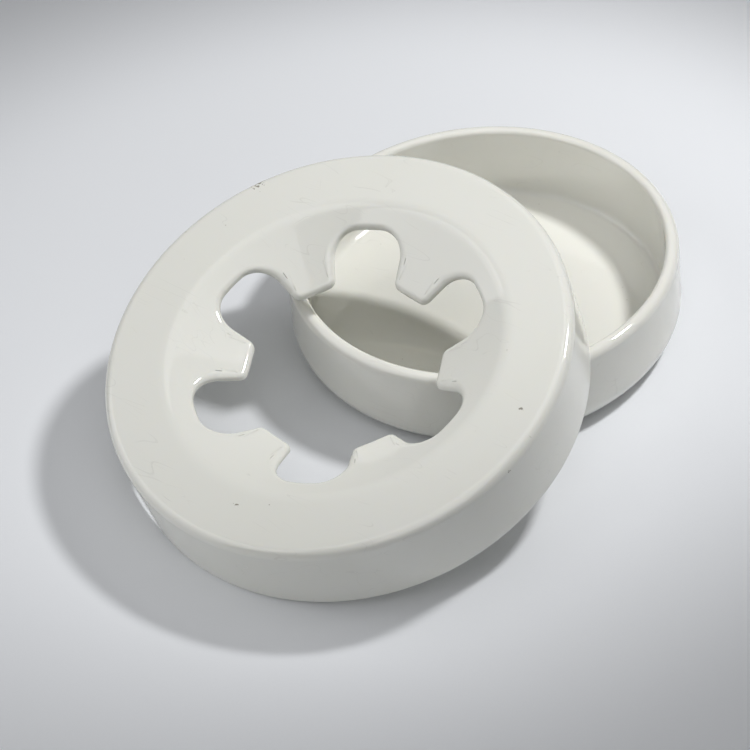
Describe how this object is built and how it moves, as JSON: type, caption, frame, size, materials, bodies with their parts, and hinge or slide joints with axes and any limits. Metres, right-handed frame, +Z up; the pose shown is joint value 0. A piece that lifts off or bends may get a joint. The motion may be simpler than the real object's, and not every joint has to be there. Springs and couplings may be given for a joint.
{
  "type": "ashtray",
  "caption": "Two-piece table ashtray: a round dish, and a ring cover with teeth sloping into its lobed opening, leaning on the dish's rim.",
  "frame": {"origin": "centre of the dish's foot, on the table", "axes": "+Z up along the dish's axis; the cover lies towards -Y with its low side away from the dish, and its high side is over the dish"},
  "size_m": [0.251, 0.3537, 0.1075],
  "materials": {
    "dish": "gloss",
    "cover": "gloss"
  },
  "bodies": {
    "dish": {"dish": "dish"},
    "cover": {"cover": "cover"}
  },
  "joints": [
    {"name": "cover_lift", "type": "slide", "parent": "dish", "child": "cover", "axis": [0, 0, 1], "range_m": [0, 0.09]}
  ]
}
